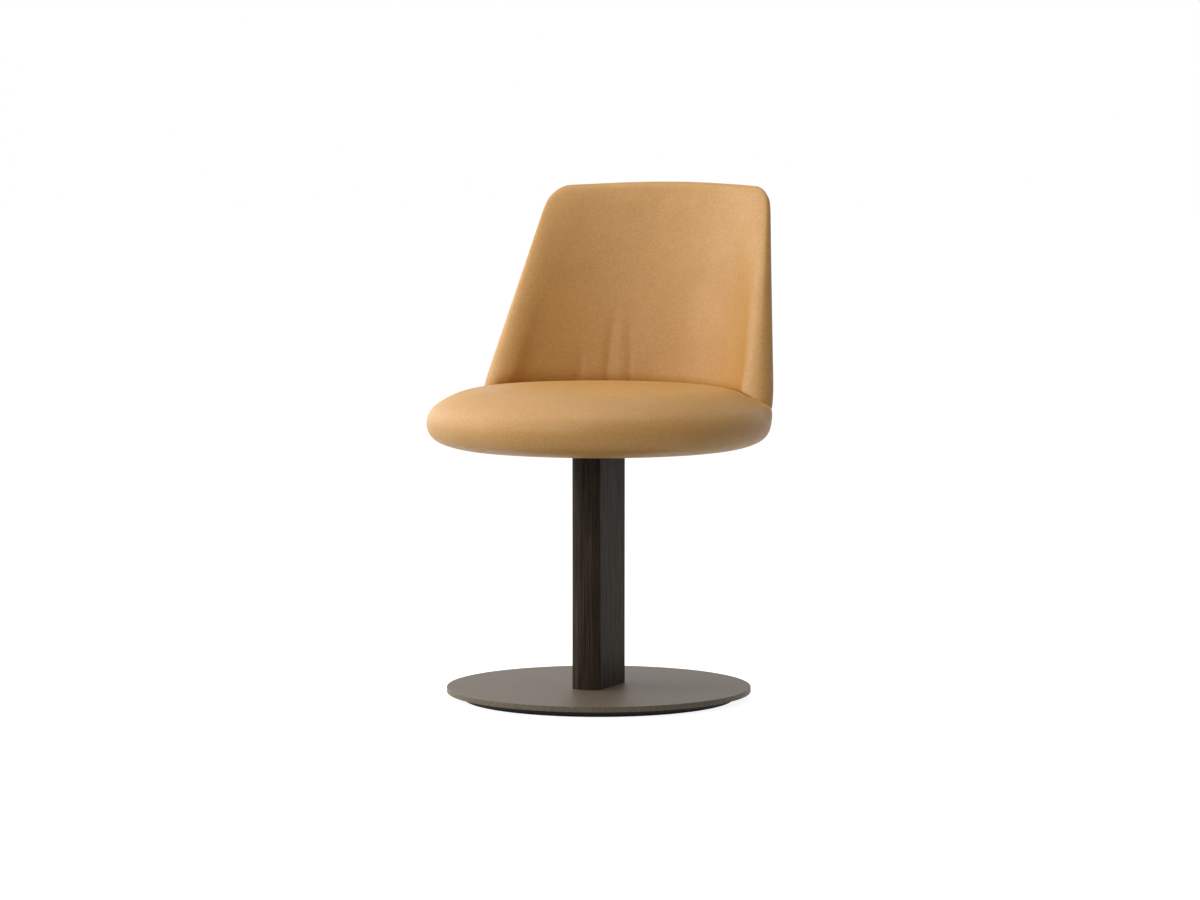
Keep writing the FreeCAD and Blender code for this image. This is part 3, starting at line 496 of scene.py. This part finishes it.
def back_point(height, along, across, half, margin, nose):
    """A point of a section: along from -1 to 1 over the band, across -1 on the inside and 1 on the outside.

    Beyond the band's ends, along carries on round the nose. The margin is how much shorter each end is.
    """
    centre, radius, half_angle = back_arc(height)
    end_reach = centre + radius * math.cos(half_angle)
    tilt = TOP_EDGE_CROWN * share_at(height) / (centre + radius - end_reach)
    last_angle = half_angle - margin / radius
    over = max(0.0, abs(along) - 1.0)
    angle = max(-1.0, min(1.0, along)) * last_angle
    side = 1 if along > 0 else -1
    beyond = side * nose * math.sin(over * math.pi / 2)
    if across < 0:
        from_end = (last_angle - abs(angle)) * radius
        reach = radius - inner_half(height, half, nose, side, from_end, abs(beyond))
    else:
        reach = radius + across * half * math.cos(over * math.pi / 2)
    x = reach * math.sin(angle) + beyond * math.cos(angle)
    y = centre + reach * math.cos(angle) - beyond * math.sin(angle)
    return Vector((x, y, height + tilt * (y - end_reach)))


def joint_height(along, across):
    """Where the back's foot meets the seat at a place of its section, or its lower edge beyond the seat."""
    height = lower_edge
    for _ in range(JOINT_ROUNDS):
        half = half_thickness_at(height)
        place = back_point(height, along, across, half, 0.0, half)
        top = seat_top_at(math.hypot(place.x, place.y))
        if top is None:
            return lower_edge
        height = max(lower_edge, top + JOINT_GAP)
    return height


def corner(rise, radius, depth):
    """How far a round corner draws the foot in, at a rise above the joint."""
    left = max(0.0, radius - rise) / radius
    return depth * (1 - math.sqrt(1 - left ** 2))


def drawn_in(rise, along, outside):
    """How far the foot is drawn in at a rise above the joint, outside being 0 inside and 1 outside."""
    place = clamped((along + 1) / 2)
    tuck_radius = between(TUCK_RADIUS_LEFT, TUCK_RADIUS_RIGHT, place)
    tuck_depth = between(TUCK_DEPTH_LEFT, TUCK_DEPTH_RIGHT, place)
    taper = max(0.0, 1 - rise / FOOT_TAPER_HEIGHT) ** 2 * FOOT_TAPER
    tuck = corner(rise, tuck_radius, tuck_depth)
    return between(tuck, taper + corner(rise, FOOT_CORNER, FOOT_CORNER), outside)


# Mesh helpers

# How finely the pads are divided. The back's levels lie closer together at its foot.
SEAT_CELLS = 72
BACK_BAND_CELLS = 112
BACK_NOSE_CELLS = 4
BACK_LEVELS = 46
BACK_LEVEL_POWER = 1.25
BACK_RIM_LEVELS = 9
BACK_BOTTOM_ROWS = 4
BACK_TOP_ROWS = 2
SECTION_SIZE = 2 * BACK_BAND_CELLS + 4 * BACK_NOSE_CELLS

# How the cloth simulation fills the pads, and how much of its swell is kept
CLOTH_MASS = 0.1
CLOTH_QUALITY = 6
CLOTH_STRETCH_STIFFNESS = 40.0
CLOTH_SHEAR_STIFFNESS = 20.0
CLOTH_BENDING_STIFFNESS = 8.0
CLOTH_PRESSURE = 3.0
CLOTH_FRAMES = 20
FILL_START = 0.0015
FILL_LIMIT = 0.002
FILL_EASING = 40
FILL_RIM_SHARE = 0.2


def new_piece(name, verts, faces, material):
    """A smooth mesh object in the scene."""
    mesh = bpy.data.meshes.new(name)
    mesh.from_pydata(verts, [], faces)
    mesh.validate()
    mesh.update()
    piece = bpy.data.objects.new(name, mesh)
    bpy.context.scene.collection.objects.link(piece)
    piece.data.materials.append(material)
    make_smooth(piece)
    return piece


def make_smooth(piece):
    """Shades a mesh smooth, with its faces turned outward."""
    work = bmesh.new()
    work.from_mesh(piece.data)
    bmesh.ops.recalc_face_normals(work, faces=work.faces)
    for face in work.faces:
        face.smooth = True
    work.to_mesh(piece.data)
    work.free()


def crease_from(piece, first):
    """Keeps the edges between the vertices from a first index on sharp under subdivision."""
    work = bmesh.new()
    work.from_mesh(piece.data)
    sharpness = work.edges.layers.float.new("crease_edge")
    for edge in work.edges:
        if min(vert.index for vert in edge.verts) >= first:
            edge[sharpness] = 1.0
    work.to_mesh(piece.data)
    work.free()


def bridged(first, second):
    """Faces between two closed loops of as many vertices."""
    return list(zip(first, first[1:] + first[:1], second[1:] + second[:1], second))


def eased(mesh, levels, fixed, rounds):
    """Values at the vertices, evened out over their neighbours. Those of the fixed vertices stay."""
    near = [[] for _ in mesh.vertices]
    for edge in mesh.edges:
        first, second = edge.vertices
        near[first].append(second)
        near[second].append(first)
    for _ in range(rounds):
        levels = [
            level if index in fixed else (level + sum(levels[other] for other in around) / len(around)) / 2
            for index, (level, around) in enumerate(zip(levels, near))
        ]
    return levels


def cloth_swell(piece, held, design, outward):
    """How far each vertex stands out from its design, after a cloth simulation with pressure inside."""
    group = piece.vertex_groups.new(name="held")
    group.add(held, 1.0, "REPLACE")
    cloth = piece.modifiers.new("cloth", "CLOTH")
    fabric = cloth.settings
    fabric.quality = CLOTH_QUALITY
    fabric.mass = CLOTH_MASS
    fabric.tension_stiffness = CLOTH_STRETCH_STIFFNESS
    fabric.compression_stiffness = CLOTH_STRETCH_STIFFNESS
    fabric.shear_stiffness = CLOTH_SHEAR_STIFFNESS
    fabric.bending_stiffness = CLOTH_BENDING_STIFFNESS
    fabric.use_pressure = True
    fabric.uniform_pressure_force = CLOTH_PRESSURE
    fabric.vertex_group_mass = group.name
    fabric.effector_weights.gravity = 0.0
    cloth.collision_settings.use_collision = False
    cloth.collision_settings.use_self_collision = False
    cloth.point_cache.frame_start = 1
    cloth.point_cache.frame_end = CLOTH_FRAMES
    scene = bpy.context.scene
    for step in range(1, CLOTH_FRAMES + 1):
        scene.frame_set(step)
    filled = piece.evaluated_get(bpy.context.evaluated_depsgraph_get())
    places = zip(filled.data.vertices, design, outward)
    swell = [(vert.co - start).dot(normal) for vert, start, normal in places]
    piece.modifiers.remove(cloth)
    piece.vertex_groups.remove(group)
    scene.frame_set(1)
    return swell


def fill_out(piece, held):
    """Fills a pad by pressure, and keeps the broad part of how far it swells beyond its tight rims.

    The held vertices stay where they are, and none of the others moves further than FILL_LIMIT.
    """
    mesh = piece.data
    design = [vert.co.copy() for vert in mesh.vertices]
    outward = [vert.normal.copy() for vert in mesh.vertices]
    fixed = set(held)
    free = [index for index in range(len(design)) if index not in fixed]
    for index in free:
        mesh.vertices[index].co = design[index] - outward[index] * FILL_START
    swell = cloth_swell(piece, held, design, outward)
    rim_swell = sorted(swell[index] for index in free)[int(len(free) * FILL_RIM_SHARE)]
    swell = [0.0 if index in fixed else level - rim_swell for index, level in enumerate(swell)]
    swell = eased(mesh, swell, fixed, FILL_EASING)
    for vert, start, normal, level in zip(mesh.vertices, design, outward, swell):
        vert.co = start + normal * level / (1 + abs(level) / FILL_LIMIT)


def subdivide(piece):
    """One level of subdivision, applied."""
    surface = piece.modifiers.new("surface", "SUBSURF")
    surface.levels = 1
    smooth = bpy.data.meshes.new_from_object(piece.evaluated_get(bpy.context.evaluated_depsgraph_get()))
    piece.modifiers.remove(surface)
    piece.data = smooth
    make_smooth(piece)


# The seat pad

def disc_place(i, j):
    """A place on the unit disc for a vertex of the square grid."""
    u = 2 * i / SEAT_CELLS - 1
    v = 2 * j / SEAT_CELLS - 1
    return u * math.sqrt(1 - v * v / 2), v * math.sqrt(1 - u * u / 2)


def seat_point(x, y, covered):
    """The seat's surface at a place on the unit disc, whose edge is at a length along the profile."""
    distance, height = profile_point(math.hypot(x, y) * covered)
    if height > SEAT_RIM_HEIGHT:
        distance, height = squared(distance, height, square_share(x, y))
        flatness = max(0.0, 1 - (distance / SEAT_FLAT_REACH) ** 2) ** SEAT_FLAT_POWER
        height -= SEAT_CROWN_DROP * flatness
    turn = math.atan2(y, x)
    return distance * math.cos(turn), distance * math.sin(turn), height


def seat_upholstery():
    """The seat pad: one smooth grid over its top and rim, then a turned-in edge and the board's recess."""
    edge_radius = dust_radius + EDGE_CLEARANCE
    covered = profile_length + (belly_centre[0] - edge_radius)
    grid = range(SEAT_CELLS + 1)
    cells = range(SEAT_CELLS)
    back_over = range(SEAT_CELLS, 0, -1)
    verts = [seat_point(*disc_place(i, j), covered) for j in grid for i in grid]

    def at(i, j):
        return j * (SEAT_CELLS + 1) + i

    faces = [(at(i, j), at(i + 1, j), at(i + 1, j + 1), at(i, j + 1)) for j in cells for i in cells]
    loop = [at(i, 0) for i in cells] + [at(SEAT_CELLS, j) for j in cells]
    loop += [at(i, SEAT_CELLS) for i in back_over] + [at(0, j) for j in back_over]
    edge_start = len(verts)
    recess_radius = board_high.x + BOARD_CLEARANCE
    recess_floor = board_low.z - BOARD_CLEARANCE_BELOW
    recess_top = board_high.z + BOARD_CLEARANCE
    recess = (
        (dust_radius + LIP_CLEARANCE, seat_low.z + LEATHER_THICKNESS / 2),
        (edge_radius, recess_floor),
        (recess_radius, recess_floor),
        (recess_radius, recess_top),
        (board_high.x * RECESS_RING_SHARE, recess_top),
    )
    for distance, height in recess:
        ring = list(range(len(verts), len(verts) + len(loop)))
        for index in loop:
            x, y, _ = verts[index]
            flat = math.hypot(x, y)
            verts.append((x * distance / flat, y * distance / flat, height))
        faces += bridged(loop, ring)
        loop = ring
    faces += [(first, second, len(verts)) for first, second in zip(loop, loop[1:] + loop[:1])]
    verts.append((0, 0, recess_top))
    pad = new_piece("seat_upholstery", verts, faces, materials["tan_leather"])
    crease_from(pad, edge_start)
    underside = SEAT_RIM_HEIGHT - SEAT_UNDER_RADIUS
    held = [index for index, place in enumerate(verts) if place[2] < underside or index >= edge_start]
    fill_out(pad, held)
    subdivide(pad)
    return pad


# Folds in the leather inside the back: points as (degrees from +Y, height), depth, left and right width

INNER_FOLDS = (
    (((-20.6, 0.440), (-19.6, 0.501), (-17.5, 0.575)), -0.0025, 0.0078, 0.0060),
    (((-11.0, 0.440), (-11.2, 0.501), (-12.4, 0.575)), -0.0019, 0.0062, 0.0046),
    (((-31.8, 0.440), (-30.5, 0.520)), -0.0020, 0.0120, 0.0060),
    (((-15.6, 0.440), (-15.0, 0.600)), 0.0008, 0.0070, 0.0070),
    (((58.5, 0.440), (58.0, 0.470), (57.0, 0.530)), -0.0016, 0.0085, 0.0055),
)
FOLD_FADE = 0.75
FOLD_START = 0.008
FOLD_FACING = -0.2

# Fine creases round the left end of the back, above the joint: height, depth and width
END_CREASES = (
    (0.4430, -0.0016, 0.0018),
    (0.4500, -0.0013, 0.0018),
)
END_CREASE_TURN = -62.0
END_CREASE_SPREAD = 14.0
END_CREASE_FACING = 0.5


def fold_depth(fold, turn, distance, height):
    """How far a fold moves the surface at a place, given as degrees, distance from the axis and height."""
    points, depth, left_width, right_width = fold
    low, high = points[0][1], points[-1][1]
    if not low <= height <= high:
        return 0.0
    for (turn_low, height_low), (turn_high, height_high) in zip(points, points[1:]):
        if height <= height_high:
            middle = between(turn_low, turn_high, (height - height_low) / (height_high - height_low))
            break
    beside = math.radians(turn - middle) * distance
    beside /= left_width if beside < 0 else right_width
    fade = min(1.0, (high - height) / (high - low) / FOLD_FADE, (height - low) / FOLD_START)
    return depth * math.exp(-beside ** 2) * smooth_step(fade)


def end_crease_depth(turn, height):
    """How far the creases round the left end of the back move the surface at a place."""
    window = math.exp(-((turn - END_CREASE_TURN) / END_CREASE_SPREAD) ** 2)
    creases = [depth * math.exp(-((height - level) / width) ** 2) for level, depth, width in END_CREASES]
    return window * sum(creases)


def fold_inside(piece):
    """Presses the creases into the back's left end and the folds into its inner face."""
    mesh = piece.data
    outward = [vert.normal.copy() for vert in mesh.vertices]
    for vert, normal in zip(mesh.vertices, outward):
        distance = math.hypot(vert.co.x, vert.co.y)
        turn = math.degrees(math.atan2(vert.co.x, vert.co.y))
        facing = (normal.x * vert.co.x + normal.y * vert.co.y) / distance
        if facing < END_CREASE_FACING:
            vert.co = vert.co + normal * end_crease_depth(turn, vert.co.z)
        if facing < FOLD_FACING:
            move = sum(fold_depth(fold, turn, distance, vert.co.z) for fold in INNER_FOLDS)
            vert.co = vert.co + normal * move


# The back pad

def section_places():
    """The places round a section, as (along, across): inside, right nose, outside and left nose."""
    band = [2 * i / BACK_BAND_CELLS - 1 for i in range(BACK_BAND_CELLS + 1)]
    nose = []
    for k in range(1, 2 * BACK_NOSE_CELLS):
        over = 1 - abs(k / BACK_NOSE_CELLS - 1)
        nose.append((1 + over, -1 if k < BACK_NOSE_CELLS else 1))
    places = [(along, -1) for along in band] + nose
    places += [(along, 1) for along in reversed(band)]
    return places + [(-along, -across) for along, across in nose]


def top_edge_section(angle, places):
    """A section of the rolled top edge, at an angle round the roll."""
    full_roll = TOP_THICKNESS / 2
    rise = (TOP_CORNER_RADIUS + full_roll) * math.sin(angle)
    corner_rise = min(rise, TOP_CORNER_RADIUS)
    over = (rise - corner_rise) / full_roll
    half = half_thickness_at(corner_height + corner_rise) * math.sqrt(1 - over ** 2)
    band_end = math.sqrt(TOP_CORNER_RADIUS ** 2 - corner_rise ** 2)
    nose = math.sqrt((TOP_CORNER_RADIUS + full_roll) ** 2 - rise ** 2) - band_end
    margin = TOP_CORNER_RADIUS - band_end
    height = corner_height + rise
    return [back_point(height, along, across, half, margin, nose) for along, across in places]


def capped(verts, first, steps, follow_seat):
    """Faces that close a section, given by its first vertex, with new vertices between its two sides."""
    loop = [first + (index - BACK_NOSE_CELLS) % SECTION_SIZE for index in range(SECTION_SIZE)]
    opposite = SECTION_SIZE // 2
    left_tip, right_tip = loop[0], loop[opposite]
    inner, outer = loop[1:opposite], loop[:opposite:-1]
    rows = [inner]
    for step in range(1, steps):
        rows.append(range(len(verts), len(verts) + len(inner)))
        for inside, outside in zip(inner, outer):
            place = verts[inside].lerp(verts[outside], step / steps)
            top = seat_top_at(math.hypot(place.x, place.y)) if follow_seat else None
            if top is not None:
                place.z = max(place.z, top + JOINT_GAP)
            verts.append(place)
    rows.append(outer)
    faces = []
    for low, high in zip(rows, rows[1:]):
        faces += list(zip(low, low[1:], high[1:], high))
        faces.append((left_tip, low[0], high[0]))
        faces.append((low[-1], right_tip, high[-1]))
    return faces


def back_upholstery():
    """The back pad, from the joint with the seat up over the rolled top edge, with its folds."""
    places = section_places()
    bottoms = [joint_height(along, across) for along, across in places]
    verts = []
    for level in range(BACK_LEVELS):
        rise = (level / BACK_LEVELS) ** BACK_LEVEL_POWER
        for (along, across), bottom in zip(places, bottoms):
            height = between(bottom, corner_height, rise)
            outside = (1 + across * math.cos(max(0.0, abs(along) - 1) * math.pi / 2)) / 2
            half = half_thickness_at(height) - drawn_in(height - bottom, along, outside)
            verts.append(back_point(height, along, across, half, 0.0, half))
    for level in range(BACK_RIM_LEVELS):
        verts += top_edge_section(TOP_EDGE_SWEEP * level / (BACK_RIM_LEVELS - 1), places)
    top_section = len(verts) - SECTION_SIZE
    faces = []
    for first in range(0, top_section, SECTION_SIZE):
        section = list(range(first, first + SECTION_SIZE))
        faces += bridged(section, [index + SECTION_SIZE for index in section])
    foot_start = len(verts)
    faces += capped(verts, 0, BACK_BOTTOM_ROWS, True)
    foot = range(foot_start, len(verts))
    faces += capped(verts, top_section, BACK_TOP_ROWS, False)
    pad = new_piece("back_upholstery", verts, faces, materials["tan_leather"])
    fill_out(pad, [*range(2 * SECTION_SIZE), *foot])
    subdivide(pad)
    fold_inside(pad)
    return pad


# Stage, lights and camera

WHITE = (1, 1, 1, 1)
FLOOR_PAINT = (0.50, 0.50, 0.50)
FLOOR_SIZE = 60.0
FLOOR_GLOW = 0.90
AMBIENT = 0.18
LAMP_TARGET = Vector((0, 0.05, 0.45))
LAMP_DISTANCE = 3.0
CAMERA_DISTANCE = 6.0
CAMERA_HEIGHT = 0.8492
CAMERA_AZIMUTH = math.radians(23.8)
CAMERA_PITCH = math.radians(4.587)
CAMERA_YAW = math.radians(0.0177)
CAMERA_CLIP = 100
LENS_PER_SENSOR = 4082.3 / 1200
SENSOR_WIDTH = 36.0


def white_to_viewer(tree):
    """One where the camera, gloss or glass looks, and none where a surface only gathers light."""
    rays = add_node(tree, "LightPath").outputs
    direct = {0: rays["Is Camera Ray"], 1: rays["Is Glossy Ray"]}
    seen = add_node(tree, "Math", direct, operation="ADD").outputs[0]
    through = {0: seen, 1: rays["Is Transmission Ray"]}
    return add_node(tree, "Math", through, operation="ADD", use_clamp=True).outputs[0]


def floor():
    """A plain pale floor that shows white to the camera and keeps the chair's shadow."""
    bpy.ops.mesh.primitive_plane_add(size=FLOOR_SIZE)
    plane = bpy.context.object
    plane.name = "floor"
    material, tree, shader = new_material("floor_paint", FLOOR_PAINT, 0.95, Specular_IOR_Level=0.1)
    glow = add_node(tree, "Math", {0: white_to_viewer(tree), 1: FLOOR_GLOW}, operation="MULTIPLY")
    shader.inputs["Emission Color"].default_value = WHITE
    feed(tree, shader, Emission_Strength=glow.outputs[0])
    plane.data.materials.append(material)


def studio_world():
    """An even pale surround that the camera sees as white."""
    world = bpy.data.worlds.new("studio")
    world.use_nodes = True
    bpy.context.scene.world = world
    tree = world.node_tree
    seen = white_to_viewer(tree)
    level = add_node(tree, "MapRange", {"Value": seen, "To Min": AMBIENT, "To Max": 1.0})
    surround = tree.nodes["Background"]
    surround.inputs["Color"].default_value = WHITE
    feed(tree, surround, Strength=level.outputs["Result"])


def area_lamp(name, azimuth, elevation, size, power):
    """A square soft lamp that points at the chair's middle from an azimuth and elevation in degrees."""
    turn = math.radians(azimuth)
    lift = math.radians(elevation)
    away = Vector((math.sin(turn) * math.cos(lift), -math.cos(turn) * math.cos(lift), math.sin(lift)))
    light = bpy.data.lights.new(name, "AREA")
    light.size = size
    light.energy = power
    lamp = bpy.data.objects.new(name, light)
    lamp.location = LAMP_TARGET + away * LAMP_DISTANCE
    lamp.rotation_euler = (-away).to_track_quat("-Z", "Y").to_euler()
    bpy.context.scene.collection.objects.link(lamp)


def camera():
    """The camera at the photograph's viewing angle."""
    data = bpy.data.cameras.new("camera")
    data.sensor_width = SENSOR_WIDTH
    data.lens = LENS_PER_SENSOR * SENSOR_WIDTH
    data.clip_end = CAMERA_CLIP
    viewer = bpy.data.objects.new("camera", data)
    x = CAMERA_DISTANCE * math.sin(CAMERA_AZIMUTH)
    y = -CAMERA_DISTANCE * math.cos(CAMERA_AZIMUTH)
    viewer.location = (x, y, CAMERA_HEIGHT)
    viewer.rotation_euler = (math.pi / 2 - CAMERA_PITCH, 0, CAMERA_AZIMUTH - CAMERA_YAW)
    bpy.context.scene.collection.objects.link(viewer)
    bpy.context.scene.camera = viewer


# The scene

dress_cad_nodes()
seat = seat_upholstery()
back = back_upholstery()
for piece, nodes in ((seat, ("seat_foam", "seat_cover")), (back, ("back_foam", "back_cover"))):
    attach(piece, "seat")
    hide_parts(*nodes)
floor()
studio_world()
area_lamp("front_lamp", azimuth=-8, elevation=29, size=2.2, power=35)
area_lamp("side_lamp", azimuth=-66, elevation=14, size=1.7, power=35)
area_lamp("high_lamp", azimuth=-85, elevation=45, size=1.9, power=32)
area_lamp("rear_lamp", azimuth=-114, elevation=13, size=1.5, power=15)
area_lamp("top_lamp", azimuth=0, elevation=88, size=1.7, power=24)
camera()
bpy.context.scene.view_settings.view_transform = "Standard"
